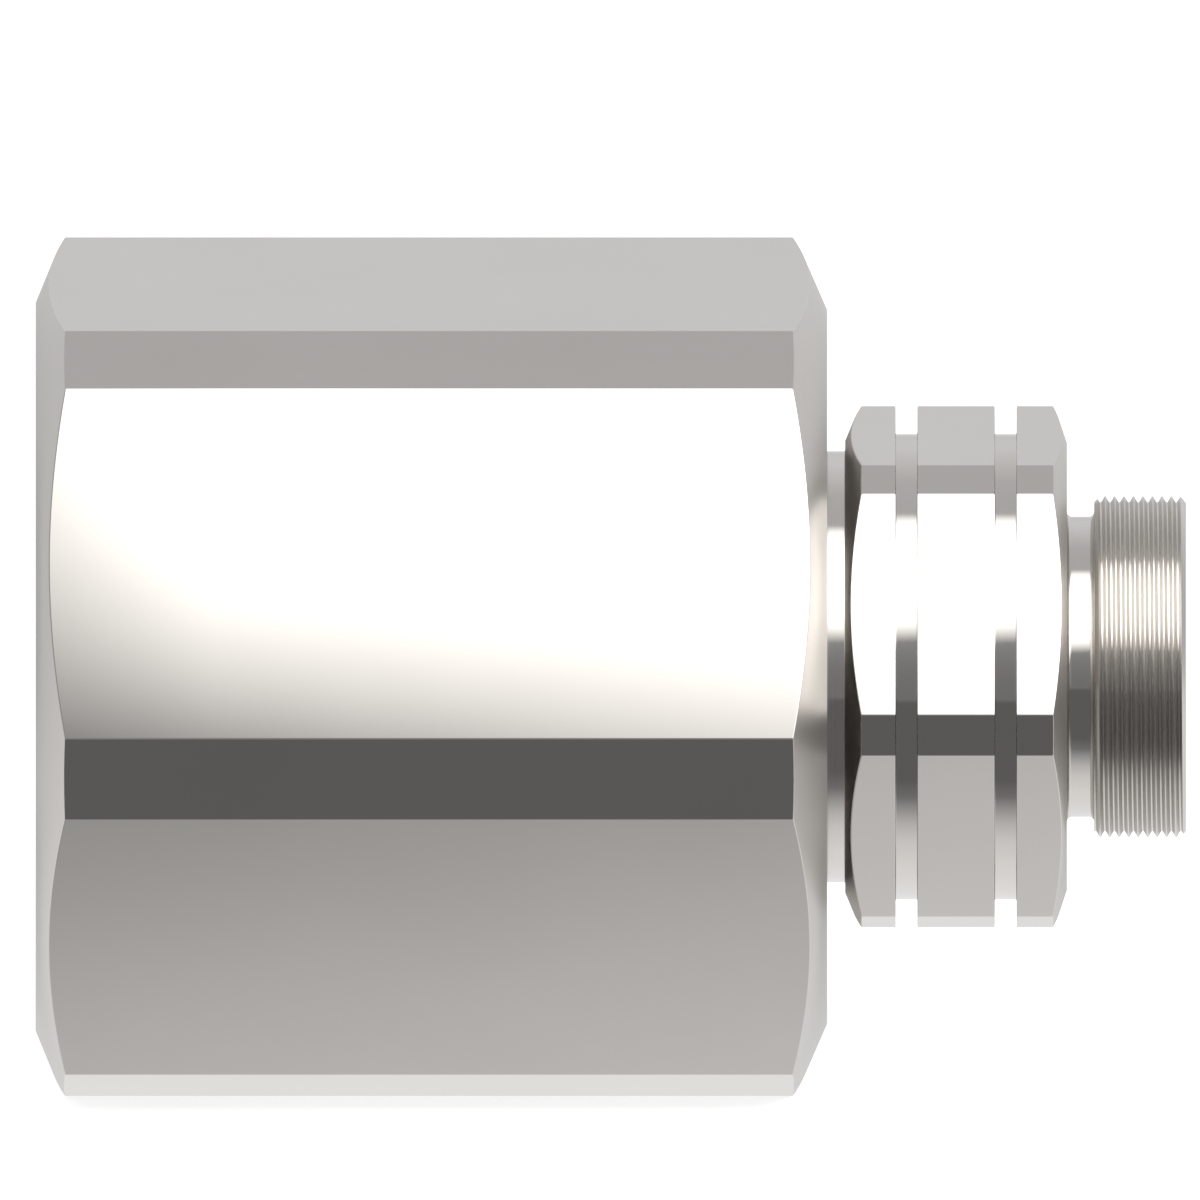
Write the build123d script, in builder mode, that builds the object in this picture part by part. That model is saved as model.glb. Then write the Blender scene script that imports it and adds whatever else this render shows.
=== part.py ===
from build123d import *
import os
from math import cos, radians, sin, sqrt, tan

# Coupling plug, lying on a flat of its big hexagon. Sizes are in millimetres.
# X is the axis of the plug, with the coupling thread towards +X and the port towards -X.
# Z is up. X = 0 is the coupling shoulder, the front face of the small hexagon.

# Big hexagon of the port body
body_length = 83.5
body_flats = 83.6
body_corner_cut = 2.52  # how far the narrow flats cut in from the sharp corners
port_face_inset = 3.4  # from the wide flats in to the flat ring round the port
port_face_chamfer = 3.1  # length of the chamfer along the axis
neck_face_inset = 4.15
neck_face_chamfer = 3.6

# Small hexagon of the nose, with its two turned grooves
hex_length = 23.4
hex_flats = 50.5
hex_corner_cut = 1.26
hex_back_inset = 1.4
hex_back_chamfer = 1.7
hex_front_inset = 1.65
hex_front_chamfer = 1.45
groove_width = 2.3
groove_depth = 0.7  # below the wide flats
groove_inset = 6.47  # from each end of the hexagon to the middle of the nearer groove

# Neck between the hexagons, which goes on into the body as the undercut of the joint thread
neck_gap = 1.9
neck_hidden_length = 2.7

# Front end of the nose: relief and coupling thread M36 x 1, drawn at its crests
relief_depth = 2.15  # below the thread's crests
relief_length = 2.86
coupling_thread_d = 36.0
coupling_thread_length = 9.7
coupling_thread_depth = 0.62
nose_bore_d = 24.0
nose_bore_chamfer = 1.0

# Nose from its bore outwards: seat, flow gap round the poppet, wall, ring groove, joint thread
seat_setback = 1.5  # from the coupling shoulder back to the start of the seat
seat_half_angle = 45.0
seat_band = 2.5  # how far the poppet is larger than the bore, in radius
flow_gap = 3.5
nose_wall = 2.35  # under the ring groove
joint_step = 1.5  # from the pilot out to the joint thread

# Joint between nose and body, M48 x 1.5. Engaged threads are drawn on their pitch cylinder.
joint_pitch = 1.5
joint_thread_length = 14.0
joint_undercut = 1.25  # depth of the neck below the joint thread
joint_runout = 0.8  # thread left free in the body behind the nose's thread
joint_relief_play = 0.4
joint_relief_width = 3.5
joint_mouth_chamfer = 1.0
pilot_chamfer = 0.8
pilot_lead = 1.6  # plain bore in front of the ring groove

# O-ring and backup ring in the groove of the pilot
o_ring_cord = 2.5
o_ring_squeeze = 0.35
o_ring_sides = 8  # the squeezed section is drawn with this many sides
backup_ring_width = 1.4
ring_groove_play = 0.6
ring_groove_inset = 2.5  # from the inner end of the nose

# Port G2 with its undercut, drawn at the thread's minor diameter, and the throat behind it
port_thread_d = 59.61
port_pitch = 2.309
port_thread_depth = 27.0
port_relief_play = 0.4  # how far the undercut is wider than the thread, in radius
port_relief_width = 4.0
port_mouth_play = 0.5
throat_step = 1.0  # how far the throat is wider than the guide's windows, in radius

# Valve guide: rim, three arms, spring seat and hub
guide_thickness = 5.0
guide_window_step = 1.0  # how far the windows are wider than the chamber, in radius
guide_arm_width = 6.0
guide_arms = 3
guide_window_corner = 1.2
hub_wall = 2.0
hub_length = 12.0
hub_lip = 3.0
bush_wall = 1.5

# Poppet: front pin, cone, seal, stem and guide rod
pin_recess = 2.5  # from the front end of the nose back to the pin
pin_d = 10.0
pin_chamfer = 1.5
pin_root = 3.0  # length and height of the cone that carries the pin
cone_overlap = 0.6  # how far the metal cone is larger than the bore, in radius
seal_thickness = 2.7
seal_land = 2.0  # from the stem thread out to the bore of the seal
stem_pitch = 1.0
stem_thread_runout = 1.5
stem_step = 0.75  # from the stem thread in to the stem
rod_step = 1.25  # from the stem in to the guide rod
rod_overhang = 1.2
rod_chamfer = 0.8
washer_thickness = 2.5
nut_wall = 2.5  # from the stem thread out to the nut's flats
nut_thickness = 5.0
nut_chamfer = 0.5
stroke = 7.5

# Spring: closed and ground at both ends, centred on a boss at each end
wire_d = 2.0
wire_sides = 8  # the round wire is drawn with this many sides
active_coils = 5
closed_coil_gap = 0.15
spring_inset = 0.75  # from the rim of the poppet in to the coils
boss_height = 1.5
boss_play = 0.3
nut_play = 0.78  # between the nut's corners and the coils

# Clearances and small edge breaks
seat_gap = 0.1  # square to the seat
rod_clearance = 0.05  # running fit of the rod in its bush, in radius
pilot_clearance = 0.05
fit_clearance = 0.02  # between pieces that are pressed, screwed or clamped together
stop_gap = 0.3  # left between stem and hub when the valve is fully open
edge_break = 0.4

# Standard thread forms, as shares of the pitch
pitch_line_form = 0.6495  # thread diameter - pitch diameter, metric thread
pipe_thread_form = 0.6403  # depth of a pipe thread

# Radii from the bore of the nose outwards
seat_slope = tan(radians(seat_half_angle))
bore_r = nose_bore_d / 2
poppet_r = bore_r + seat_band
chamber_r = poppet_r + flow_gap
ring_groove_r = chamber_r + nose_wall
pilot_r = ring_groove_r + o_ring_cord - o_ring_squeeze
pilot_bore_r = pilot_r + pilot_clearance
joint_thread_r = pilot_r + joint_step
joint_r = joint_thread_r - pitch_line_form * joint_pitch / 2
neck_r = joint_thread_r - joint_undercut
guide_window_r = chamber_r + guide_window_step
throat_r = guide_window_r + throat_step
port_minor_r = port_thread_d / 2 - pipe_thread_form * port_pitch

# Radii from the spring inwards
spring_r = poppet_r - spring_inset - wire_d / 2  # to the middle of the wire
coil_bore_r = spring_r - wire_d / 2
boss_r = coil_bore_r - boss_play
nut_corner_r = coil_bore_r - nut_play
nut_flat_r = nut_corner_r * cos(radians(30))
stem_crest_r = nut_flat_r - nut_wall
stem_thread_r = stem_crest_r - pitch_line_form * stem_pitch / 2
stem_r = stem_crest_r - stem_step
rod_r = stem_r - rod_step
rod_bore_r = rod_r + rod_clearance
bush_r = rod_r + bush_wall
hub_r = bush_r + hub_wall
seal_bore_r = stem_crest_r + seal_land
cone_front_r = pin_d / 2 + pin_root

# Rings in their groove. The O-ring keeps the area of its round section.
ring_room = pilot_bore_r - ring_groove_r
ring_height = ring_room - 2 * fit_clearance
ring_width = o_ring_cord**2 / ring_height
ring_groove_width = ring_width + backup_ring_width + ring_groove_play

# Places along the axis
hex_back_x = -hex_length
body_front_x = hex_back_x - neck_gap
body_back_x = body_front_x - body_length
nose_tip_x = relief_length + coupling_thread_length
seat_x = -seat_setback
joint_thread_x = body_front_x - neck_hidden_length
joint_end_x = joint_thread_x - joint_thread_length
joint_hole_x = joint_end_x - joint_runout
pilot_front_x = joint_hole_x - joint_relief_width
ring_groove_front_x = pilot_front_x - pilot_lead
ring_groove_back_x = ring_groove_front_x - ring_groove_width
nose_end_x = ring_groove_back_x - ring_groove_inset
guide_back_x = nose_end_x - guide_thickness
port_thread_end_x = body_back_x + port_thread_depth
port_bottom_x = port_thread_end_x + port_relief_width


def narrow_flat_r(flats, corner_cut):
    """Distance from the axis to the narrow flats that take the corners off a hexagon."""
    return flats / 2 / cos(radians(30)) - corner_cut


def corner_radius(flats, corner_cut):
    """Distance from the axis to the edges between the wide and the narrow flats."""
    turn = radians(30)  # from a wide flat to the narrow flat beside it
    half_flat = (narrow_flat_r(flats, corner_cut) - flats / 2 * cos(turn)) / sin(turn)
    return sqrt((flats / 2) ** 2 + half_flat**2)


def hexagon(flats, corner_cut):
    """Section of a hexagon bar with a flat on top, its corners taken off by narrow flats."""
    corner_flat_r = narrow_flat_r(flats, corner_cut)
    with BuildSketch() as section:
        RegularPolygon(flats / 2, 6, major_radius=False)
        RegularPolygon(corner_flat_r, 6, major_radius=False, rotation=30, mode=Mode.INTERSECT)
    return section.sketch


def turned_ends(back, front, corner_r):
    """Outline that turns both ends of a hexagon: each end is (x, face radius, chamfer)."""
    past_corner = 1.3  # the cones run on past the corners, so that they cut them clean
    outline = []
    for (x, face_r, chamfer), inward in ((back, 1), (front, -1)):
        cone_end_r = face_r + past_corner * (corner_r - face_r)
        end = [(x, 0), (x, face_r), (x + inward * past_corner * chamfer, cone_end_r)]
        outline += end[::inward]
    with BuildSketch() as profile:
        with BuildLine():
            Polyline(*outline, close=True)
        make_face()
    return profile.sketch


def cone_r(x):
    """Radius of the poppet's cone, which lies seat_gap inside the seat."""
    offset = seat_gap / cos(radians(seat_half_angle))
    return bore_r + (seat_x - x) * seat_slope - offset


def cone_x(r):
    """Place along the axis where the poppet's cone has radius r."""
    offset = seat_gap / cos(radians(seat_half_angle))
    return seat_x - (r + offset - bore_r) / seat_slope


# Port body: hexagon bar, chamfered ends, then everything that is bored out of it
with BuildPart() as port_body:
    with BuildSketch(Plane.YZ.offset(body_back_x)):
        add(hexagon(body_flats, body_corner_cut))
    extrude(amount=body_length)
    with BuildSketch(Plane.XZ):
        add(
            turned_ends(
                (body_back_x, body_flats / 2 - port_face_inset, port_face_chamfer),
                (body_front_x, body_flats / 2 - neck_face_inset, neck_face_chamfer),
                corner_radius(body_flats, body_corner_cut),
            )
        )
    revolve(axis=Axis.X, mode=Mode.INTERSECT)
    port_mouth_r = port_thread_d / 2 + port_mouth_play
    port_relief_r = port_thread_d / 2 + port_relief_play
    joint_mouth_r = joint_r + joint_mouth_chamfer
    joint_relief_r = joint_thread_r + joint_relief_play
    with BuildSketch(Plane.XZ):
        with BuildLine():
            Polyline(
                (body_back_x, 0),
                (body_back_x, port_mouth_r),
                (body_back_x + port_mouth_r - port_minor_r, port_minor_r),
                (port_thread_end_x, port_minor_r),
                (port_thread_end_x, port_relief_r),
                (port_bottom_x, port_relief_r),
                (port_bottom_x, throat_r),
                (guide_back_x, throat_r),
                (guide_back_x, pilot_bore_r),
                (pilot_front_x - pilot_chamfer, pilot_bore_r),
                (pilot_front_x, pilot_bore_r + pilot_chamfer),
                (pilot_front_x, joint_relief_r),
                (joint_hole_x, joint_relief_r),
                (joint_hole_x, joint_r + fit_clearance),
                (body_front_x - joint_mouth_chamfer, joint_r + fit_clearance),
                (body_front_x, joint_mouth_r + fit_clearance),
                (body_front_x, 0),
                close=True,
            )
        make_face()
    revolve(axis=Axis.X, mode=Mode.SUBTRACT)

# Coupling nose: small hexagon with two grooves, turned front and hidden turned back
with BuildPart() as coupling_nose:
    with BuildSketch(Plane.YZ.offset(hex_back_x)):
        add(hexagon(hex_flats, hex_corner_cut))
    extrude(amount=hex_length)
    with BuildSketch(Plane.XZ):
        add(
            turned_ends(
                (hex_back_x, hex_flats / 2 - hex_back_inset, hex_back_chamfer),
                (0, hex_flats / 2 - hex_front_inset, hex_front_chamfer),
                corner_radius(hex_flats, hex_corner_cut),
            )
        )
    revolve(axis=Axis.X, mode=Mode.INTERSECT)
    with BuildSketch(Plane.XZ):
        with Locations((hex_back_x + groove_inset, 0), (-groove_inset, 0)):
            Rectangle(groove_width, hex_flats, align=(Align.CENTER, Align.MIN))
        with Locations((hex_back_x, 0)):
            Rectangle(
                hex_length,
                hex_flats / 2 - groove_depth,
                align=(Align.MIN, Align.MIN),
                mode=Mode.SUBTRACT,
            )
    revolve(axis=Axis.X, mode=Mode.SUBTRACT)

    thread_r = coupling_thread_d / 2
    thread_root_r = thread_r - coupling_thread_depth
    relief_r = thread_r - relief_depth
    with BuildSketch(Plane.XZ):
        with BuildLine():
            Polyline(
                (0, 0),
                (0, relief_r),
                (relief_length, relief_r),
                (relief_length, thread_root_r),
                (relief_length + coupling_thread_depth, thread_r),
                (nose_tip_x - coupling_thread_depth, thread_r),
                (nose_tip_x, thread_root_r),
                (nose_tip_x, 0),
                close=True,
            )
        make_face()
    revolve(axis=Axis.X)

    joint_chamfer = joint_r - pilot_r
    with BuildSketch(Plane.XZ):
        with BuildLine():
            Polyline(
                (hex_back_x, 0),
                (hex_back_x, neck_r),
                (joint_thread_x, neck_r),
                (joint_thread_x - joint_r + neck_r, joint_r),
                (joint_end_x + joint_chamfer, joint_r),
                (joint_end_x, pilot_r),
                (nose_end_x + pilot_chamfer, pilot_r),
                (nose_end_x, pilot_r - pilot_chamfer),
                (nose_end_x, 0),
                close=True,
            )
        make_face()
    revolve(axis=Axis.X)
    with BuildSketch(Plane.XZ):
        with Locations((ring_groove_back_x, ring_groove_r)):
            Rectangle(ring_groove_width, pilot_r, align=(Align.MIN, Align.MIN))
    revolve(axis=Axis.X, mode=Mode.SUBTRACT)

    seat_length = (chamber_r - bore_r) / seat_slope
    with BuildSketch(Plane.XZ):
        with BuildLine():
            Polyline(
                (nose_tip_x, 0),
                (nose_tip_x, bore_r + nose_bore_chamfer),
                (nose_tip_x - nose_bore_chamfer, bore_r),
                (seat_x, bore_r),
                (seat_x - seat_length, chamber_r),
                (nose_end_x + edge_break, chamber_r),
                (nose_end_x, chamber_r + edge_break),
                (nose_end_x, 0),
                close=True,
            )
        make_face()
    revolve(axis=Axis.X, mode=Mode.SUBTRACT)

# Rings in the groove of the pilot. The O-ring is squeezed between groove and bore.
backup_back_x = ring_groove_front_x - fit_clearance - backup_ring_width
with BuildPart() as body_o_ring:
    ring_x = backup_back_x - fit_clearance - ring_width / 2
    ring_middle_r = ring_groove_r + ring_room / 2
    side_turn = radians(360 / o_ring_sides)
    corner_reach = 1 / cos(side_turn / 2)  # brings the flats of the section out to its full size
    outline = []
    for side in range(o_ring_sides):
        turn = (side + 0.5) * side_turn
        across = corner_reach * ring_width / 2 * cos(turn)
        outwards = corner_reach * ring_height / 2 * sin(turn)
        outline.append((ring_x + across, ring_middle_r + outwards))
    with BuildSketch(Plane.XZ):
        with BuildLine():
            Polyline(*outline, close=True)
        make_face()
    revolve(axis=Axis.X)

with BuildPart() as backup_ring:
    with BuildSketch(Plane.XZ):
        with Locations((backup_back_x, ring_groove_r + fit_clearance)):
            Rectangle(backup_ring_width, ring_height, align=(Align.MIN, Align.MIN))
    revolve(axis=Axis.X)

# Valve guide: clamped by its rim, with three windows for the flow and a hub for the bush
with BuildPart() as valve_guide:
    with BuildSketch(Plane.YZ.offset(guide_back_x)):
        Circle(pilot_r)
    extrude(amount=guide_thickness)
    chamfer(valve_guide.edges().filter_by(GeomType.CIRCLE), edge_break)
    with BuildSketch(Plane.YZ.offset(guide_back_x)) as windows:
        Circle(guide_window_r)
        Circle(poppet_r, mode=Mode.SUBTRACT)
        with PolarLocations(0, guide_arms, start_angle=90):
            Rectangle(
                2 * guide_window_r,
                guide_arm_width,
                align=(Align.MIN, Align.CENTER),
                mode=Mode.SUBTRACT,
            )
        fillet(windows.vertices(), guide_window_corner)
    extrude(amount=guide_thickness, mode=Mode.SUBTRACT)
    hub_front_x = nose_end_x + boss_height
    hub_back_x = nose_end_x - hub_length
    lip_x = hub_front_x - hub_lip
    with BuildSketch(Plane.XZ):
        with BuildLine():
            Polyline(
                (hub_front_x, 0),
                (hub_front_x, boss_r - edge_break),
                (hub_front_x - edge_break, boss_r),
                (nose_end_x - guide_thickness / 2, boss_r),
                (nose_end_x - guide_thickness / 2, hub_r),
                (hub_back_x + edge_break, hub_r),
                (hub_back_x, hub_r - edge_break),
                (hub_back_x, 0),
                close=True,
            )
        make_face()
    revolve(axis=Axis.X)
    with BuildSketch(Plane.XZ):
        with Locations((hub_back_x, 0)):
            Rectangle(lip_x - hub_back_x, bush_r + fit_clearance, align=(Align.MIN, Align.MIN))
        with Locations((lip_x, 0)):
            Rectangle(hub_lip, rod_bore_r + edge_break, align=(Align.MIN, Align.MIN))
    revolve(axis=Axis.X, mode=Mode.SUBTRACT)

with BuildPart() as guide_bush:
    with BuildSketch(Plane.XZ):
        with Locations((lip_x - fit_clearance, rod_bore_r)):
            Rectangle(
                lip_x - hub_back_x - fit_clearance,
                bush_r - rod_bore_r,
                align=(Align.MAX, Align.MIN),
            )
    revolve(axis=Axis.X)

# Poppet: the pin in front, the cone, the seat of the seal, and the stem that ends in the guide rod
seal_front_x = cone_x(bore_r + cone_overlap)
seal_back_x = seal_front_x - seal_thickness
washer_back_x = seal_back_x - fit_clearance - washer_thickness
nut_front_x = washer_back_x - boss_height
nut_back_x = nut_front_x - nut_thickness
stem_stop_x = hub_front_x + stroke + stop_gap
with BuildPart() as valve_poppet:
    pin_x = nose_tip_x - pin_recess
    cone_front_x = cone_x(cone_front_r)
    thread_back_x = nut_back_x - stem_thread_runout
    rod_end_x = hub_back_x - rod_overhang
    with BuildSketch(Plane.XZ):
        with BuildLine():
            Polyline(
                (pin_x, 0),
                (pin_x, pin_d / 2 - pin_chamfer),
                (pin_x - pin_chamfer, pin_d / 2),
                (cone_front_x + pin_root, pin_d / 2),
                (cone_front_x, cone_front_r),
                (seal_front_x, cone_r(seal_front_x)),
                (seal_front_x, seal_bore_r),
                (seal_back_x, seal_bore_r),
                (seal_back_x, stem_thread_r),
                (thread_back_x, stem_thread_r),
                (thread_back_x - stem_thread_r + stem_r, stem_r),
                (stem_stop_x, stem_r),
                (stem_stop_x, rod_r),
                (rod_end_x + rod_chamfer, rod_r),
                (rod_end_x, rod_r - rod_chamfer),
                (rod_end_x, 0),
                close=True,
            )
        make_face()
    revolve(axis=Axis.X)

with BuildPart() as poppet_seal:
    with BuildSketch(Plane.XZ):
        with BuildLine():
            Polyline(
                (seal_front_x - fit_clearance, seal_bore_r + fit_clearance),
                (seal_front_x - fit_clearance, cone_r(seal_front_x - fit_clearance)),
                (cone_x(poppet_r), poppet_r),
                (seal_back_x, poppet_r),
                (seal_back_x, seal_bore_r + fit_clearance),
                close=True,
            )
        make_face()
    revolve(axis=Axis.X)

with BuildPart() as seal_washer:
    with BuildSketch(Plane.XZ):
        with BuildLine():
            Polyline(
                (seal_back_x - fit_clearance, stem_thread_r + fit_clearance),
                (seal_back_x - fit_clearance, poppet_r),
                (washer_back_x + edge_break, poppet_r),
                (washer_back_x, poppet_r - edge_break),
                (washer_back_x, boss_r),
                (nut_front_x + edge_break, boss_r),
                (nut_front_x, boss_r - edge_break),
                (nut_front_x, stem_thread_r + fit_clearance),
                close=True,
            )
        make_face()
    revolve(axis=Axis.X)

with BuildPart() as poppet_nut:
    with BuildSketch(Plane.YZ.offset(nut_back_x)):
        RegularPolygon(nut_flat_r, 6, major_radius=False)
        Circle(stem_thread_r + fit_clearance, mode=Mode.SUBTRACT)
    extrude(amount=nut_thickness - fit_clearance)
    with BuildSketch(Plane.XZ):
        add(
            turned_ends(
                (nut_back_x, nut_flat_r, nut_chamfer),
                (nut_front_x - fit_clearance, nut_flat_r, nut_chamfer),
                nut_corner_r,
            )
        )
    revolve(axis=Axis.X, mode=Mode.INTERSECT)

# Spring: one closed coil at each end, ground flat on its seat, and the active coils between
with BuildPart() as valve_spring:
    spring_back_x = nose_end_x + fit_clearance
    spring_front_x = washer_back_x - fit_clearance
    closed_pitch = wire_d + closed_coil_gap
    tip_sink = wire_d / 4  # the wire's end starts this far inside its seat, and is ground off
    coil_start_x = spring_back_x - tip_sink
    coil_length = spring_front_x - spring_back_x + 2 * tip_sink
    active_length = coil_length - 2 * closed_pitch
    with BuildLine() as coil:
        Helix(closed_pitch, closed_pitch, spring_r, (coil_start_x, 0, 0), (1, 0, 0))
        Helix(
            active_length / active_coils,
            active_length,
            spring_r,
            (coil_start_x + closed_pitch, 0, 0),
            (1, 0, 0),
        )
        Helix(
            closed_pitch,
            closed_pitch,
            spring_r,
            (coil_start_x + closed_pitch + active_length, 0, 0),
            (1, 0, 0),
        )
    with BuildSketch(Plane(origin=coil.line @ 0, z_dir=coil.line % 0)):
        RegularPolygon(wire_d / 2, wire_sides)
    sweep(is_frenet=True)
    split(bisect_by=Plane.YZ.offset(spring_back_x), keep=Keep.TOP)
    split(bisect_by=Plane.YZ.offset(spring_front_x), keep=Keep.BOTTOM)

pieces = {
    "port_body": port_body,
    "coupling_nose": coupling_nose,
    "body_o_ring": body_o_ring,
    "backup_ring": backup_ring,
    "valve_poppet": valve_poppet,
    "poppet_seal": poppet_seal,
    "seal_washer": seal_washer,
    "poppet_nut": poppet_nut,
    "valve_spring": valve_spring,
    "valve_guide": valve_guide,
    "guide_bush": guide_bush,
}
os.makedirs("parts", exist_ok=True)
for name, piece in pieces.items():
    piece.part.label = name
    export_step(piece.part, f"parts/{name}.step")
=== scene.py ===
# %% [markdown]
# # A coupling plug with its valve
#
# The plug is the threaded half of a screw-together quick coupling. A big hexagon with a pipe
# port carries a smaller turned nose, and the nose holds a spring-loaded valve. Everything you
# see is bright plated steel, so this lesson is about two things: clean machined shapes, and a
# studio that gives polished metal something to reflect.

# %% Load the frame
import bmesh
import bpy
from math import cos, hypot, pi, radians, sin, tan
from mathutils import Matrix, Vector


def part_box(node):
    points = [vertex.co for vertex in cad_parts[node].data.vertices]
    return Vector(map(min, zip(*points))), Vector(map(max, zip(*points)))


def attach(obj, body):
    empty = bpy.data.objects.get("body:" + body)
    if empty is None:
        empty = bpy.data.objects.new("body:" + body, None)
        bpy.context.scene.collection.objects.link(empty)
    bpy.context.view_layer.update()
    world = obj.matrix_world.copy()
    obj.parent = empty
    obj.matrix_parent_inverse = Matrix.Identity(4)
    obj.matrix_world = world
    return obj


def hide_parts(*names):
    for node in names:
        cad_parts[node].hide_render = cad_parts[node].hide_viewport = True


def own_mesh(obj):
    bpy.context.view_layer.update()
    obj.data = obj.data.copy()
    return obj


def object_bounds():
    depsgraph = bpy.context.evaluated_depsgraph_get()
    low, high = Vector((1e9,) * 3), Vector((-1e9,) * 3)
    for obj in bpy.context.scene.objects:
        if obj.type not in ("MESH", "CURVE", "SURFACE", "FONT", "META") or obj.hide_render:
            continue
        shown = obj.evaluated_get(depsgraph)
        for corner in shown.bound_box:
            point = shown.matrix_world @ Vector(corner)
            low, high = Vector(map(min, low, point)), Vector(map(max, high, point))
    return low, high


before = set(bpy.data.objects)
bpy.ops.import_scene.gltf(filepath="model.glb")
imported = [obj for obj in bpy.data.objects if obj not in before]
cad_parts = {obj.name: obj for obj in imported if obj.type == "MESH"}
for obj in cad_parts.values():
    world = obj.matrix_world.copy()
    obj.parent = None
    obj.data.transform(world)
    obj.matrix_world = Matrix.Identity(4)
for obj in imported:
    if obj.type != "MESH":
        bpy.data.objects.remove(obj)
cad_low, cad_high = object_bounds()

# %% [markdown]
# ## Sizes
#
# The solids from the CAD say where everything is, so most sizes are read from their boxes.
# The X axis runs through the plug, and X = 0 is the front face of the small hexagon. What a
# box can't tell, such as the depth of a groove, is written here in millimetres.

# %% Sizes read from the frame
mm = 0.001
body_low, body_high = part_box("port_body")
nose_low, nose_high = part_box("coupling_nose")
body_back_x, body_front_x = body_low.x, body_high.x
nose_end_x, nose_tip_x = nose_low.x, nose_high.x
body_flat_r, body_corner_flat_r = body_high.z, body_high.y
hex_flat_r, hex_corner_flat_r = nose_high.z, nose_high.y
floor_z = cad_low.z
print("body", round(body_front_x - body_back_x, 5), "m long, flats", round(2 * body_flat_r, 5))

# %% [markdown]
# ## The camera
#
# The picture of the plug has no perspective: its edges are all parallel. An orthographic
# camera does the same. It stands in front of the plug and looks down on it by 15 degrees.

# %% Camera
view_height = 126.58 * mm
view_centre_x = -49.26 * mm
view_rise = 7.04 * mm
look_down = radians(15)
camera_distance = 0.6

camera = bpy.data.objects.new("camera", bpy.data.cameras.new("camera"))
bpy.context.scene.collection.objects.link(camera)
camera.data.type = "ORTHO"
camera.data.ortho_scale = view_height
camera.data.clip_start = 0.01
up = Vector((0, sin(look_down), cos(look_down)))
back = Vector((0, -cos(look_down), sin(look_down)))
camera.location = Vector((view_centre_x, 0, 0)) + view_rise * up + camera_distance * back
camera.rotation_euler = (pi / 2 - look_down, 0, 0)
bpy.context.scene.camera = camera
print("camera at", [round(c, 4) for c in camera.location])

# %% [markdown]
# ## Turning on a lathe
#
# Most of the plug is turned, so most of it starts as half an outline that is spun round the
# X axis. An outline is a list of (x, radius) points. Corners that a tool would leave round
# are rounded first, by bevelling the outline's own corners while it is still a flat face.

# %% The lathe
turning_steps = 192
same_place = 0.0005 * mm


def outline_face(bm, outline, rounds):
    """A flat face in the plane Y = 0. rounds gives a radius to some of its corners."""
    corners = [bm.verts.new((x, 0, r)) for x, r in outline]
    bm.faces.new(corners)
    for index, radius in rounds:
        bmesh.ops.bevel(
            bm,
            geom=[corners[index]],
            offset=radius,
            offset_type="OFFSET",
            segments=4,
            profile=0.5,
            affect="VERTICES",
            material=-1,
        )


def turned(outline, rounds=(), steps=turning_steps):
    """Spin an outline into a closed solid of revolution about X."""
    bm = bmesh.new()
    outline_face(bm, outline, rounds)
    bmesh.ops.delete(bm, geom=bm.faces[:], context="FACES_ONLY")
    on_axis = [e for e in bm.edges if all(v.co.z < same_place for v in e.verts)]
    bmesh.ops.delete(bm, geom=on_axis, context="EDGES")
    bmesh.ops.spin(
        bm,
        geom=bm.verts[:] + bm.edges[:],
        cent=(0, 0, 0),
        axis=(1, 0, 0),
        angle=2 * pi,
        steps=steps,
        use_merge=True,
    )
    bmesh.ops.remove_doubles(bm, verts=bm.verts, dist=same_place)
    bmesh.ops.recalc_face_normals(bm, faces=bm.faces)
    return bm


# %% [markdown]
# ## Hexagon bar
#
# Both hexagons start as drawn bar with its corners taken off by narrow flats. A hexagon is a
# circle of six points. Bevelling those points cuts the corners off, and extruding the face
# along X gives the bar.

# %% The bar
def hexagon_bar(flat_r, corner_flat_r, back_x, front_x):
    """A bar with a flat on top and its corners cut off."""
    corner_r = flat_r / cos(radians(30))
    bm = bmesh.new()
    bmesh.ops.create_circle(bm, cap_ends=True, segments=6, radius=corner_r)
    bmesh.ops.rotate(bm, verts=bm.verts, matrix=Matrix.Rotation(pi / 2, 3, "Y"))
    top = max(v.co.z for v in bm.verts)
    if top > flat_r + same_place:
        bmesh.ops.rotate(bm, verts=bm.verts, matrix=Matrix.Rotation(radians(30), 3, "X"))
    bmesh.ops.bevel(
        bm,
        geom=bm.verts[:],
        offset=2 * (corner_r - corner_flat_r),
        offset_type="OFFSET",
        segments=1,
        profile=0.5,
        affect="VERTICES",
        material=-1,
    )
    bmesh.ops.translate(bm, verts=bm.verts, vec=(back_x, 0, 0))
    end = bmesh.ops.extrude_face_region(bm, geom=bm.faces[:])
    moved = [v for v in end["geom"] if isinstance(v, bmesh.types.BMVert)]
    bmesh.ops.translate(bm, verts=moved, vec=(front_x - back_x, 0, 0))
    bmesh.ops.recalc_face_normals(bm, faces=bm.faces)
    return bm


# %% [markdown]
# ## Cutting one shape with another
#
# The curved edges where a cone cuts the flats of a hexagon are hard to draw and easy to cut.
# An exact Boolean does what the lathe does: it keeps what two shapes share, or takes one away
# from the other. The result comes back as a fresh mesh, and both workpieces are thrown away.

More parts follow.
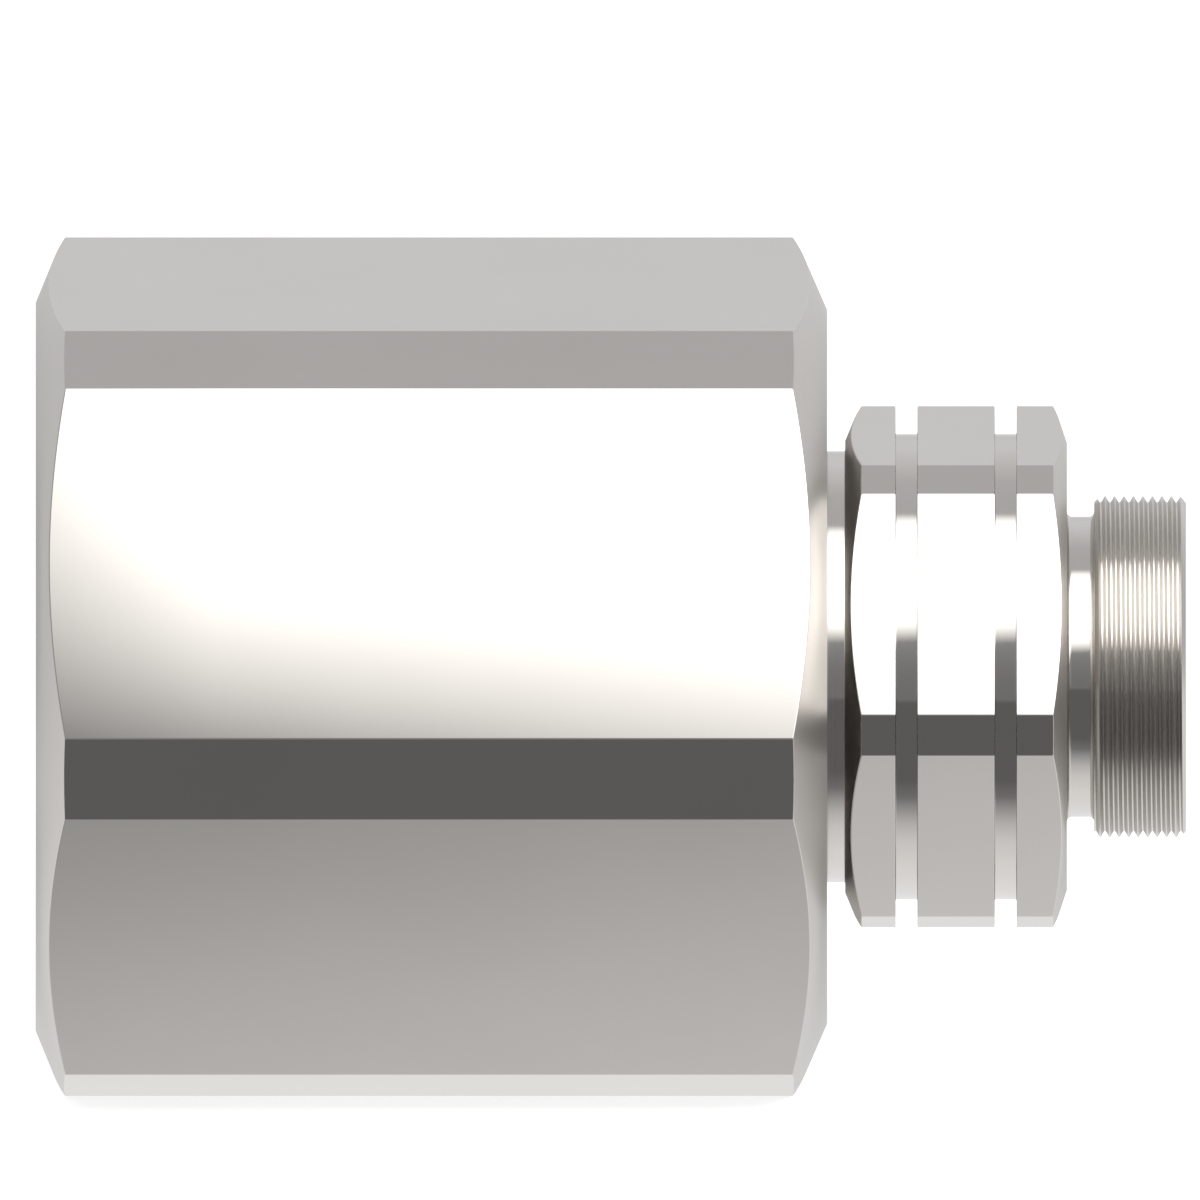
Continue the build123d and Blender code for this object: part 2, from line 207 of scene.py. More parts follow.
# %% Booleans
def machined(blank, tool, operation):
    """The blank after one Boolean with the tool. Both are used up."""
    workpieces = []
    for bm in (blank, tool):
        mesh = bpy.data.meshes.new("workpiece")
        bm.to_mesh(mesh)
        bm.free()
        workpiece = bpy.data.objects.new("workpiece", mesh)
        bpy.context.scene.collection.objects.link(workpiece)
        workpieces.append(workpiece)
    cut = workpieces[0].modifiers.new("cut", "BOOLEAN")
    cut.operation = operation
    cut.solver = "EXACT"
    cut.object = workpieces[1]
    bpy.context.view_layer.update()
    done = bmesh.new()
    evaluated = workpieces[0].evaluated_get(bpy.context.evaluated_depsgraph_get())
    done.from_mesh(evaluated.to_mesh())
    for workpiece in workpieces:
        mesh = workpiece.data
        bpy.data.objects.remove(workpiece)
        bpy.data.meshes.remove(mesh)
    return done


def broken_edges(bm, width, sharp=radians(25)):
    """Take the sharpness off every edge, as a deburring wheel does."""
    bmesh.ops.remove_doubles(bm, verts=bm.verts, dist=same_place)
    edges = [e for e in bm.edges if e.is_manifold and e.calc_face_angle(0) > sharp]
    bmesh.ops.bevel(
        bm,
        geom=edges,
        offset=width,
        offset_type="OFFSET",
        segments=2,
        profile=0.5,
        affect="EDGES",
        clamp_overlap=True,
        material=-1,
    )
    return bm


# %% [markdown]
# ## A thread
#
# A thread is a groove that a pointed tool cuts while the part turns and the tool moves along.
# Spin does that too: with a step along the axis on every step round it, a small section
# winds into a screw. Taking that screw away from a plain cylinder leaves the thread.

# %% Thread cutter
thread_steps = 96


def thread_cutter(section, start_x, pitch, turns):
    """A screw with this (x, radius) section, right-handed about X."""
    bm = bmesh.new()
    corners = [bm.verts.new((start_x + x, 0, r)) for x, r in section]
    bm.faces.new(corners)
    steps = round(turns * thread_steps)
    start = bm.verts[:] + bm.edges[:] + bm.faces[:]
    bmesh.ops.spin(
        bm,
        geom=start,
        cent=(0, 0, 0),
        axis=(1, 0, 0),
        dvec=(pitch / thread_steps, 0, 0),
        angle=2 * pi * steps / thread_steps,
        steps=steps,
    )
    bmesh.ops.recalc_face_normals(bm, faces=bm.faces)
    return bm


# %% [markdown]
# ## Finishing a piece
#
# Every finished mesh goes through the same bench: points that share a place are merged, the
# faces are turned outwards, and the shading is smooth with hard edges kept. A weighted
# normals modifier keeps the flats optically flat right up to their softened edges.

# %% The bench
def piece(name, bm, body, node, materials, smooth_to=radians(35)):
    """Make the object, let it ride on its body, and let it stand for its CAD node."""
    bmesh.ops.remove_doubles(bm, verts=bm.verts, dist=same_place)
    bmesh.ops.recalc_face_normals(bm, faces=bm.faces)
    mesh = bpy.data.meshes.new(name)
    bm.to_mesh(mesh)
    bm.free()
    mesh.shade_smooth()
    mesh.set_sharp_from_angle(angle=smooth_to)
    made = bpy.data.objects.new(name, mesh)
    bpy.context.scene.collection.objects.link(made)
    for material in materials:
        mesh.materials.append(material)
    flat = made.modifiers.new("flats stay flat", "WEIGHTED_NORMAL")
    flat.keep_sharp = True
    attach(made, body)
    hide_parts(node)
    print(name, len(mesh.polygons), "faces")
    return made


# %% [markdown]
# ## Metal
#
# Polished metal has almost no colour of its own. What tells the eye that it is steel is a
# faint grain: fine lines where the tool or the drawing die passed, and small changes in how
# sharp the reflections are. Turned faces carry rings round the axis, so their grain is noise
# that only looks at the place along the axis and the distance from it. Flats of drawn bar
# carry long lines along the bar, so their grain is noise stretched along X.

# %% Metal material
def node_of(tree, kind, **settings):
    """Add a node to a material's tree and set it up."""
    node = tree.nodes.new(kind)
    for key, value in settings.items():
        if key.startswith("in_"):
            node.inputs[key[3:]].default_value = value
        else:
            setattr(node, key, value)
    return node


def ramp_of(tree, value, start, stop, low=0.0, high=1.0):
    """Turn a value between start and stop into one between low and high."""
    ramp = tree.nodes.new("ShaderNodeMapRange")
    limits = {"From Min": start, "From Max": stop, "To Min": low, "To Max": high}
    for socket, limit in limits.items():
        ramp.inputs[socket].default_value = limit
    tree.links.new(value, ramp.inputs["Value"])
    return ramp


def bare_material(name):
    """A material with nothing but its output."""
    material = bpy.data.materials.new(name)
    material.use_nodes = True
    tree = material.node_tree
    tree.nodes.clear()
    return material, tree, tree.nodes.new("ShaderNodeOutputMaterial")


def new_material(name):
    """A material with its output and its Principled shader."""
    material, tree, output = bare_material(name)
    shader = tree.nodes.new("ShaderNodeBsdfPrincipled")
    tree.links.new(shader.outputs["BSDF"], output.inputs["Surface"])
    return material, tree, shader


mix_factor, mix_a, mix_b, mix_colour = 0, 6, 7, 2


def two_tone(tree, pattern, first, second, shader):
    """Colour the shader from first to second, as the pattern goes from 0 to 1."""
    tint = node_of(tree, "ShaderNodeMix", data_type="RGBA")
    tint.inputs[mix_a].default_value = (*first, 1)
    tint.inputs[mix_b].default_value = (*second, 1)
    tree.links.new(pattern, tint.inputs[mix_factor])
    tree.links.new(tint.outputs[mix_colour], shader.inputs["Base Color"])


def grain_relief(tree, pattern, height, shader):
    """Raise and lower the surface by the pattern."""
    relief = node_of(tree, "ShaderNodeBump", in_Strength=1.0, in_Distance=height)
    tree.links.new(pattern, relief.inputs["Height"])
    tree.links.new(relief.outputs["Normal"], shader.inputs["Normal"])


def turned_coordinates(tree):
    """A vector of (place along the axis, distance from it, 0) for grain that goes round."""
    place = node_of(tree, "ShaderNodeTexCoord")
    split = node_of(tree, "ShaderNodeSeparateXYZ")
    tree.links.new(place.outputs["Object"], split.inputs[0])
    radius = node_of(tree, "ShaderNodeVectorMath", operation="LENGTH")
    across = node_of(tree, "ShaderNodeCombineXYZ")
    tree.links.new(split.outputs["Y"], across.inputs["Y"])
    tree.links.new(split.outputs["Z"], across.inputs["Z"])
    tree.links.new(across.outputs[0], radius.inputs[0])
    joined = node_of(tree, "ShaderNodeCombineXYZ")
    tree.links.new(split.outputs["X"], joined.inputs["X"])
    tree.links.new(radius.outputs["Value"], joined.inputs["Y"])
    return joined.outputs[0]


def drawn_coordinates(tree):
    """Object coordinates squeezed along X, for grain that runs along the bar."""
    place = node_of(tree, "ShaderNodeTexCoord")
    squeeze = node_of(tree, "ShaderNodeMapping", in_Scale=(0.02, 1, 1))
    tree.links.new(place.outputs["Object"], squeeze.inputs["Vector"])
    return squeeze.outputs[0]


def metal(name, bright, dark, smooth, rough, coordinates, grain_size, grain_depth, faced=0.0):
    """Metal whose colour, gloss and relief follow one fine grain.

    The faces cut across the axis are rougher by faced, from the feed of the tool.
    """
    material, tree, shader = new_material(name)
    shader.inputs["Metallic"].default_value = 1.0
    where = coordinates(tree)
    grain = node_of(
        tree, "ShaderNodeTexNoise", in_Scale=1 / grain_size, in_Detail=3.0, in_Roughness=0.6
    )
    tree.links.new(where, grain.inputs["Vector"])
    cloud = node_of(tree, "ShaderNodeTexNoise", in_Scale=55.0, in_Detail=2.0)
    spot = node_of(tree, "ShaderNodeTexCoord")
    tree.links.new(spot.outputs["Object"], cloud.inputs["Vector"])
    two_tone(tree, cloud.outputs["Fac"], dark, bright, shader)
    gloss = ramp_of(tree, grain.outputs["Fac"], 0.3, 0.7, smooth, rough)
    towards = node_of(tree, "ShaderNodeSeparateXYZ")
    tree.links.new(spot.outputs["Normal"], towards.inputs[0])
    across = node_of(tree, "ShaderNodeMath", operation="MULTIPLY")
    tree.links.new(towards.outputs["X"], across.inputs[0])
    tree.links.new(towards.outputs["X"], across.inputs[1])
    feed = node_of(tree, "ShaderNodeMath", operation="MULTIPLY_ADD")
    feed.inputs[1].default_value = faced
    tree.links.new(across.outputs[0], feed.inputs[0])
    tree.links.new(gloss.outputs["Result"], feed.inputs[2])
    tree.links.new(feed.outputs[0], shader.inputs["Roughness"])
    grain_relief(tree, grain.outputs["Fac"], grain_depth, shader)
    return material


# %% [markdown]
# ### The metals
#
# Each metal has two near colours, two roughnesses and a grain of its own size. The drawn
# flats and the turned faces are one plating over two kinds of machining. Their grain is
# shallow, because the plating fills it.

# %% Metals of the pieces
nickel = ((0.63, 0.61, 0.585), (0.60, 0.58, 0.555))
steel = ((0.56, 0.55, 0.54), (0.50, 0.49, 0.48))
oiled_wire = ((0.50, 0.49, 0.48), (0.42, 0.41, 0.40))
bronze = ((0.62, 0.42, 0.20), (0.52, 0.34, 0.15))
plating_grain = 0.0002 * mm
lathe_grain = 0.0004 * mm
valve_grain = 0.0006 * mm
facing_roughness = 0.3

drawn_plating = metal(
    "plated bar", *nickel, 0.06, 0.09, drawn_coordinates, 0.35 * mm, plating_grain
)
turned_plating = metal(
    "plated turning", *nickel, 0.06, 0.10, turned_coordinates, 0.3 * mm, lathe_grain, facing_roughness
)
valve_steel = metal(
    "valve steel", *steel, 0.16, 0.24, turned_coordinates, 0.25 * mm, valve_grain
)
spring_steel = metal(
    "spring wire", *oiled_wire, 0.18, 0.30, drawn_coordinates, 0.2 * mm, valve_grain
)
bearing_bronze = metal(
    "bearing bronze", *bronze, 0.22, 0.34, turned_coordinates, 0.25 * mm, valve_grain
)

# %% [markdown]
# ### Plastic and rubber
#
# The seals have been in a mould, so they carry its fine, even skin and no lines.

# %% Seal materials
def moulded(name, colour, spots, roughness, grain_size, grain_depth):
    """Rubber or plastic: a plain colour with faint spots and the skin of its mould."""
    material, tree, shader = new_material(name)
    place = node_of(tree, "ShaderNodeTexCoord")
    skin = node_of(tree, "ShaderNodeTexNoise", in_Scale=1 / grain_size, in_Detail=4.0)
    tree.links.new(place.outputs["Object"], skin.inputs["Vector"])
    two_tone(tree, skin.outputs["Fac"], colour, spots, shader)
    shader.inputs["Roughness"].default_value = roughness
    grain_relief(tree, skin.outputs["Fac"], grain_depth, shader)
    return material


white = ((0.80, 0.79, 0.76), (0.74, 0.73, 0.70))
black = ((0.018, 0.018, 0.019), (0.03, 0.03, 0.031))
seal_plastic = moulded("seal plastic", *white, 0.38, 0.4 * mm, 0.002 * mm)
ring_rubber = moulded("ring rubber", *black, 0.5, 0.3 * mm, 0.004 * mm)
print("materials:", len(bpy.data.materials))

# %% [markdown]
# ## The port body
#
# The big hexagon is bar with both ends turned. The turned blank is a fat cylinder with a cone
# at each end, and what it shares with the bar is the hexagon with its curved chamfer edges.
# The port is bored from the back: a countersink, the pipe thread, a groove where the thread
# runs out, and a narrower throat. The front takes the nose.

# %% Blank of the body
port_face_r = 38.4 * mm
port_face_chamfer = 3.1 * mm
neck_face_r = 37.65 * mm
neck_face_chamfer = 3.6 * mm
edge_width = 0.12 * mm


def turned_ends(flat_r, corner_flat_r, back_end, front_end):
    """Outline of a blank whose cones just reach the hexagon's corners.

    Each end is (x, radius of its flat face, length of its chamfer).
    """
    half_flat = (corner_flat_r - flat_r * cos(radians(30))) / sin(radians(30))
    corner_r = hypot(flat_r, half_flat)
    beyond = 1.3
    points = []
    for (x, face_r, chamfer), inward in ((back_end, 1), (front_end, -1)):
        cone = (x + inward * beyond * chamfer, face_r + beyond * (corner_r - face_r))
        points += [(x, 0), (x, face_r), cone][::inward]
    return points


body_back = (body_back_x, port_face_r, port_face_chamfer)
body_front = (body_front_x, neck_face_r, neck_face_chamfer)
body_bar = hexagon_bar(body_flat_r, body_corner_flat_r, body_back_x - mm, body_front_x + mm)
body_blank = turned(turned_ends(body_flat_r, body_corner_flat_r, body_back, body_front))
body_bm = machined(body_bar, body_blank, "INTERSECT")

# %% Bore of the body
port_pitch = 2.309 * mm
port_thread_r = 29.805 * mm
port_thread_depth = 0.6403 * port_pitch
port_minor_r = port_thread_r - port_thread_depth
port_thread_end_x = body_back_x + 27 * mm
port_bottom_x = port_thread_end_x + 4 * mm
port_relief_r = port_thread_r + 0.4 * mm
port_mouth_r = port_thread_r + 0.5 * mm
chamber_r = 18 * mm
throat_r = chamber_r + 2 * mm
pilot_r = 22.5 * mm
guide_back_x = nose_end_x - 5 * mm
joint_r = 23.513 * mm
joint_relief_r = 24.4 * mm
gap = 0.02 * mm
pilot_front_x = body_front_x - 21 * mm
joint_hole_x = body_front_x - 17.5 * mm
pilot_bore_r = pilot_r + 0.05 * mm
corner_round = 0.5 * mm
body_bore = [
    (body_back_x - mm, 0),
    (body_back_x - mm, port_mouth_r + mm),
    (body_back_x + port_mouth_r - port_minor_r, port_minor_r),
    (port_thread_end_x, port_minor_r),
    (port_thread_end_x, port_relief_r),
    (port_bottom_x, port_relief_r),
    (port_bottom_x, throat_r),
    (guide_back_x, throat_r),
    (guide_back_x, pilot_bore_r),
    (pilot_front_x, pilot_bore_r),
    (pilot_front_x, joint_relief_r),
    (joint_hole_x, joint_relief_r),
    (joint_hole_x, joint_r + gap),
    (body_front_x - mm, joint_r + gap),
    (body_front_x + mm, joint_r + 2 * mm),
    (body_front_x + mm, 0),
]
run_out = [body_bore.index((x, port_relief_r)) for x in (port_thread_end_x, port_bottom_x)]
port_tool = turned(body_bore, rounds=[(index, corner_round) for index in run_out])
body_bm = machined(body_bm, port_tool, "DIFFERENCE")
broken_edges(body_bm, edge_width)
print("body faces before the thread:", len(body_bm.faces))

# %% [markdown]
# ### The pipe thread
#
# A pipe thread has flanks of 55 degrees with rounded crests and roots. The cutter's section
# is one groove: narrow at the bottom, wide where it opens into the bore.

# %% Thread of the port
pipe_half_angle = radians(27.5)
sharp_depth = 0.9605 * port_pitch
root_half = sharp_depth / 6 * tan(pipe_half_angle)
inside = 0.15 * mm
mouth_half = root_half + (port_thread_depth + inside) * tan(pipe_half_angle)
port_groove = [
    (-mouth_half, port_minor_r - inside),
    (-root_half, port_thread_r),
    (root_half, port_thread_r),
    (mouth_half, port_minor_r - inside),
]
port_turns = (port_thread_end_x - body_back_x) / port_pitch + 1.35
port_tap = thread_cutter(port_groove, body_back_x - port_pitch, port_pitch, port_turns)
body_bm = machined(body_bm, port_tap, "DIFFERENCE")
print("body faces with the thread:", len(body_bm.faces))


def flats_apart(made, flat_r, corner_flat_r):
    """Give the faces on the bar's own flats the second material, with its grain along X."""
    for face in made.data.polygons:
        outwards = Vector((0, face.center.y, face.center.z)).dot(face.normal)
        on_flat = min(abs(outwards - flat_r), abs(outwards - corner_flat_r)) < 0.02 * mm
        if abs(face.normal.x) < 0.001 and on_flat and face.area > mm * mm:
            face.material_index = 1
    count = sum(face.material_index for face in made.data.polygons)
    print(made.name, count, "faces of drawn bar")


plating = [turned_plating, drawn_plating]
port_body = piece("body_hexagon", body_bm, "housing", "port_body", plating)
flats_apart(port_body, body_flat_r, body_corner_flat_r)

# %% [markdown]
# ## The coupling nose
#
# The nose is one piece too. Its whole outline is turned first, grooves included, with the
# hexagon's part left fat. What that shares with a long hexagon bar is the nose, because the
# neck and the front end are thinner than the bar and pass through it untouched.

# %% Blank of the nose
hex_back_x = -23.4 * mm
groove_half = 1.15 * mm
groove_inset = 6.47 * mm
groove_r = 24.55 * mm
neck_r = 22.75 * mm
relief_r = 15.85 * mm
relief_length = 2.86 * mm
thread_r = 18.0 * mm
thread_depth = 0.62 * mm
thread_pitch = 1.0 * mm
hex_back = (hex_back_x, 23.85 * mm, 1.7 * mm)
hex_front = (0.0, 23.6 * mm, 1.45 * mm)
(_, back_face, back_cone, front_cone, front_face, _) = turned_ends(
    hex_flat_r, hex_corner_flat_r, hex_back, hex_front
)
neck_start_x = body_front_x - 2.7 * mm
joint_start_x = neck_start_x - 14 * mm
joint_chamfer = 1 * mm
end_chamfer = 0.8 * mm
nose_outline = [
    (nose_end_x, 0),
    (nose_end_x, pilot_r - end_chamfer),
    (nose_end_x + end_chamfer, pilot_r),
    (joint_start_x, pilot_r),
    (joint_start_x + joint_chamfer, joint_r),
    (neck_start_x - end_chamfer, joint_r),
    (neck_start_x, neck_r),
    (hex_back_x, neck_r),
    back_face,
    back_cone,
]
for middle in (hex_back_x + groove_inset, -groove_inset):
    nose_outline += [
        (middle - groove_half, back_cone[1]),
        (middle - groove_half, groove_r),
        (middle + groove_half, groove_r),
        (middle + groove_half, back_cone[1]),
    ]
nose_outline += [
    front_cone,
    front_face,
    (0, relief_r),
    (relief_length, relief_r),
    (relief_length, thread_r - thread_depth),
    (relief_length + thread_depth, thread_r),
    (nose_tip_x - thread_depth, thread_r),
    (nose_tip_x, thread_r - thread_depth),
    (nose_tip_x, 0),
]
relief_corners = [nose_outline.index((0, relief_r)), nose_outline.index((relief_length, relief_r))]
relief_rounds = [(index, corner_round) for index in relief_corners]
nose_bar = hexagon_bar(hex_flat_r, hex_corner_flat_r, nose_end_x - mm, nose_tip_x + mm)
nose_bm = machined(nose_bar, turned(nose_outline, rounds=relief_rounds), "INTERSECT")

# %% Bore and ring groove of the nose
bore_r = 12 * mm
seat_x = -1.5 * mm
ring_groove_front_x = pilot_front_x - 1.6 * mm
ring_groove_back_x = nose_end_x + 2.5 * mm
ring_groove_r = chamber_r + 2.35 * mm
bore_chamfer = 0.4 * mm
nose_bore = [
    (nose_end_x - mm, 0),
    (nose_end_x - mm, chamber_r + mm + bore_chamfer),
    (nose_end_x + bore_chamfer, chamber_r),
    (seat_x - chamber_r + bore_r, chamber_r),
    (seat_x, bore_r),
    (nose_tip_x - mm, bore_r),
    (nose_tip_x + mm, bore_r + 2 * mm),
    (nose_tip_x + mm, 0),
]
ring_groove = [
    (ring_groove_back_x, ring_groove_r),
    (ring_groove_back_x, pilot_r + mm),
    (ring_groove_front_x, pilot_r + mm),
    (ring_groove_front_x, ring_groove_r),
]
nose_bm = machined(nose_bm, turned(nose_bore), "DIFFERENCE")
nose_bm = machined(nose_bm, turned(ring_groove), "DIFFERENCE")
broken_edges(nose_bm, edge_width)
print("nose faces before the thread:", len(nose_bm.faces))

# %% [markdown]
# ### The coupling thread
#
# This is the thread that the sleeve of the other half screws on. It is fine: one millimetre
# from crest to crest, with flanks of 60 degrees and small flats on the crests.

# %% Thread of the nose
metric_half_angle = radians(30)
crest_flat = thread_pitch / 8
outside = 0.1 * mm
open_half = (thread_pitch - crest_flat) / 2 + outside * tan(metric_half_angle)
bottom_half = open_half - (thread_depth + outside) * tan(metric_half_angle)
coupling_groove = [
    (-open_half, thread_r + outside),
    (-bottom_half, thread_r - thread_depth),
    (bottom_half, thread_r - thread_depth),
    (open_half, thread_r + outside),
]
thread_start_x = relief_length - 1.3 * thread_pitch
coupling_turns = (nose_tip_x - thread_start_x) / thread_pitch + 0.8
coupling_die = thread_cutter(coupling_groove, thread_start_x, thread_pitch, coupling_turns)
nose_bm = machined(nose_bm, coupling_die, "DIFFERENCE")
print("nose faces with the thread:", len(nose_bm.faces))
coupling_nose = piece("nose_hexagon", nose_bm, "housing", "coupling_nose", plating)
flats_apart(coupling_nose, hex_flat_r, hex_corner_flat_r)

# %% [markdown]
# ## The valve spring
#
# The spring is closed and ground: its end coils lie against each other and are ground flat,
# so that it stands square. The wire is a small circle wound by spin in three stretches with
# a different step along the axis, and two cuts across the axis grind the ends.

# %% Winding the spring
spring_low, spring_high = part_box("valve_spring")
wire_r = 1.0 * mm
coil_r = spring_high.y - wire_r
closed_pitch = 2.15 * mm
active_turns = 5
spring_steps = 72
sunk = wire_r / 2
wound_length = spring_high.x - spring_low.x + 2 * sunk
active_pitch = (wound_length - 2 * closed_pitch) / active_turns

spring_bm = bmesh.new()
bmesh.ops.create_circle(spring_bm, cap_ends=True, segments=16, radius=wire_r)
bmesh.ops.rotate(spring_bm, verts=spring_bm.verts, matrix=Matrix.Rotation(pi / 2, 3, "X"))
bmesh.ops.translate(spring_bm, verts=spring_bm.verts, vec=(spring_low.x - sunk, 0, coil_r))
last = spring_bm.verts[:] + spring_bm.edges[:] + spring_bm.faces[:]
for pitch, turns in ((closed_pitch, 1), (active_pitch, active_turns), (closed_pitch, 1)):
    wound = bmesh.ops.spin(
        spring_bm,
        geom=last,
        cent=(0, 0, 0),
        axis=(1, 0, 0),
        dvec=(pitch / spring_steps, 0, 0),
        angle=2 * pi * turns,
        steps=spring_steps * turns,
    )
    last = wound["geom_last"]
bmesh.ops.recalc_face_normals(spring_bm, faces=spring_bm.faces)
for ground_x, outwards in ((spring_low.x, -1), (spring_high.x, 1)):
    cut = bmesh.ops.bisect_plane(
        spring_bm,
        geom=spring_bm.verts[:] + spring_bm.edges[:] + spring_bm.faces[:],
        plane_co=(ground_x, 0, 0),
        plane_no=(outwards, 0, 0),
        clear_outer=True,
    )
    rim = [e for e in cut["geom_cut"] if isinstance(e, bmesh.types.BMEdge)]
    bmesh.ops.holes_fill(spring_bm, edges=rim, sides=0)
spring = piece("spring_wire", spring_bm, "housing", "valve_spring", [spring_steel])
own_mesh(spring)

# %% [markdown]
# ## The small valve pieces
#
# The solids of the guide, the O-ring and the nut already have the right shape, but their mesh
# is loose triangles. A copy is welded, its triangles are joined back into whole faces, and
# its edges are broken. The copy stands for the CAD node, which stays as it is.

# %% Dressing a copy of a node
def dressed(name, node, body, material, width):
    """A welded copy of a CAD node with broken edges."""
    bm = bmesh.new()
    bm.from_mesh(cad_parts[node].data)
    bmesh.ops.remove_doubles(bm, verts=bm.verts, dist=same_place)
    bmesh.ops.dissolve_limit(
        bm, angle_limit=radians(1), verts=bm.verts, edges=bm.edges, use_dissolve_boundaries=False
    )
    if width:
        broken_edges(bm, width, sharp=radians(30))
    return piece(name, bm, body, node, [material])


dressed("guide_casting", "valve_guide", "housing", valve_steel, 0.1 * mm)
dressed("o_ring", "body_o_ring", "housing", ring_rubber, 0)
dressed("nut", "poppet_nut", "poppet", valve_steel, 0.1 * mm)


# %% [markdown]
# ### Pieces from the lathe
#
# The poppet and the rings round it are turned again from their outlines, so that they come out
# as smooth as the nose. An outline starts at the front end of the piece's solid and is
# measured backwards from there. The poppet's pin, which you see in the mouth of the nose, has
# a rounded end and a fillet where it grows out of the cone.

# %% Small turned pieces
def turned_piece(name, node, body, finish, material, outline, rounds=()):
    """Turn an outline of (mm behind the front end of its CAD node, radius in mm)."""
    front_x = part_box(node)[1].x
    points = [(front_x - behind * mm, radius * mm) for behind, radius in outline]
    corners = [(index, radius * mm) for index, radius in rounds]
    return piece(name, turned(points, rounds=corners), body, node, [material])


def sleeve(inner_r, outer_r, length):
    """Outline of a plain ring."""
    return [(0, inner_r), (0, outer_r), (length, outer_r), (length, inner_r)]


pin_end = [(0, 0), (0, 3.5), (1.5, 5.0), (4.701, 5.0)]
cone_and_seat = [(12.301, 12.6), (12.301, 9.0), (15.001, 9.0), (15.001, 6.676)]
stem = [(25.521, 6.676), (25.947, 6.25), (56.054, 6.25), (56.054, 5.0)]
rod_end = [(77.754, 5.0), (78.554, 4.2), (78.554, 0)]
poppet_outline = pin_end + cone_and_seat + stem + rod_end
pin_rounds = [(1, 0.8), (2, 0.8), (3, 1.5)]
stem_rounds = [(4, 0.1), (10, 0.1), (12, 0.3), (13, 0.3)]
seal_outline = [(0, 9.02), (0, 12.62), (1.88, 14.5), (2.68, 14.5), (2.68, 9.02)]
washer_rim = [(0, 6.696), (0, 14.5), (2.1, 14.5), (2.5, 14.1)]
washer_boss = [(2.5, 11.45), (3.6, 11.45), (4, 11.05), (4, 6.696)]

steel_finish, plastic_finish = ("valve_steel", valve_steel), ("white_plastic", seal_plastic)
bronze_finish = ("bearing_bronze", bearing_bronze)
turned_piece(
    "poppet", "valve_poppet", "poppet", *steel_finish, poppet_outline, pin_rounds + stem_rounds
)
turned_piece("seal", "poppet_seal", "poppet", *plastic_finish, seal_outline)
turned_piece("washer", "seal_washer", "poppet", *steel_finish, washer_rim + washer_boss)
turned_piece("guide_bushing", "guide_bush", "housing", *bronze_finish, sleeve(5.05, 6.5, 10.48))
turned_piece("backup", "backup_ring", "housing", *plastic_finish, sleeve(20.37, 22.53, 1.4))

# %% [markdown]
# ## The studio
#
# Polished metal shows the room more than itself, so the room is made for its reflections. The
# floor is plain and pale, and keeps the plug's shadow. Each flat of a hexagon is a mirror that
# shows one direction, and what stands there decides whether the flat is bright or dark.

# %% Floor
def sheet_of(name, width, depth, place, turn, material):
    """A flat sheet facing up, turned and moved to its place. It belongs to the studio."""
    bm = bmesh.new()
    bmesh.ops.create_grid(bm, x_segments=1, y_segments=1, size=0.5)
    bmesh.ops.scale(bm, verts=bm.verts, vec=(width, depth, 1))
    mesh = bpy.data.meshes.new(name)
    bm.to_mesh(mesh)
    bm.free()
    mesh.materials.append(material)
    made = bpy.data.objects.new(name, mesh)
    made.location = place
    made.rotation_euler = turn
    bpy.context.scene.collection.objects.link(made)
    return made


def floor_material(glow, paint):
    """White paint that lights itself a little for the camera and for reflections."""
    material, tree, output = bare_material("pale floor")
    matt = node_of(tree, "ShaderNodeBsdfDiffuse", in_Color=(paint, paint, paint, 1))
    light = node_of(tree, "ShaderNodeEmission", in_Strength=glow)
    both = tree.nodes.new("ShaderNodeAddShader")
    seen = tree.nodes.new("ShaderNodeMixShader")
    path = tree.nodes.new("ShaderNodeLightPath")
    rays = node_of(tree, "ShaderNodeMath", operation="MAXIMUM")
    more = node_of(tree, "ShaderNodeMath", operation="MAXIMUM")
    tree.links.new(path.outputs["Is Camera Ray"], rays.inputs[0])
    tree.links.new(path.outputs["Is Glossy Ray"], rays.inputs[1])
    tree.links.new(rays.outputs[0], more.inputs[0])
    tree.links.new(path.outputs["Is Transmission Ray"], more.inputs[1])
    tree.links.new(matt.outputs[0], both.inputs[0])
    tree.links.new(light.outputs[0], both.inputs[1])
    tree.links.new(more.outputs[0], seen.inputs["Fac"])
    tree.links.new(matt.outputs[0], seen.inputs[1])
    tree.links.new(both.outputs[0], seen.inputs[2])
    tree.links.new(seen.outputs[0], output.inputs["Surface"])
    return material


floor_glow, floor_paint = 0.75, 0.8
floor_place = (0, 0, floor_z - 0.05 * mm)
level = (0, 0, 0)
floor = sheet_of("floor", 4, 4, floor_place, level, floor_material(floor_glow, floor_paint))
floor.visible_glossy = False

# %% [markdown]
# ### The key light
#
# The wide flat that faces the camera most mirrors a card in front of and above the plug. The
# card fades out over a soft border at its left, its bottom and its top, and its bottom border
# leans, so the shade on the flat climbs towards the left. Each border is a ramp, and the ramps
# are multiplied.

# %% Key light
def leaning_sum(tree, slant, split, axis):
    """The place along an axis, plus slant times the place along X."""
    leaning = node_of(tree, "ShaderNodeMath", operation="MULTIPLY_ADD")
    leaning.inputs[1].default_value = slant
    tree.links.new(split.outputs["X"], leaning.inputs[0])
    tree.links.new(split.outputs[axis], leaning.inputs[2])
    return leaning.outputs[0]


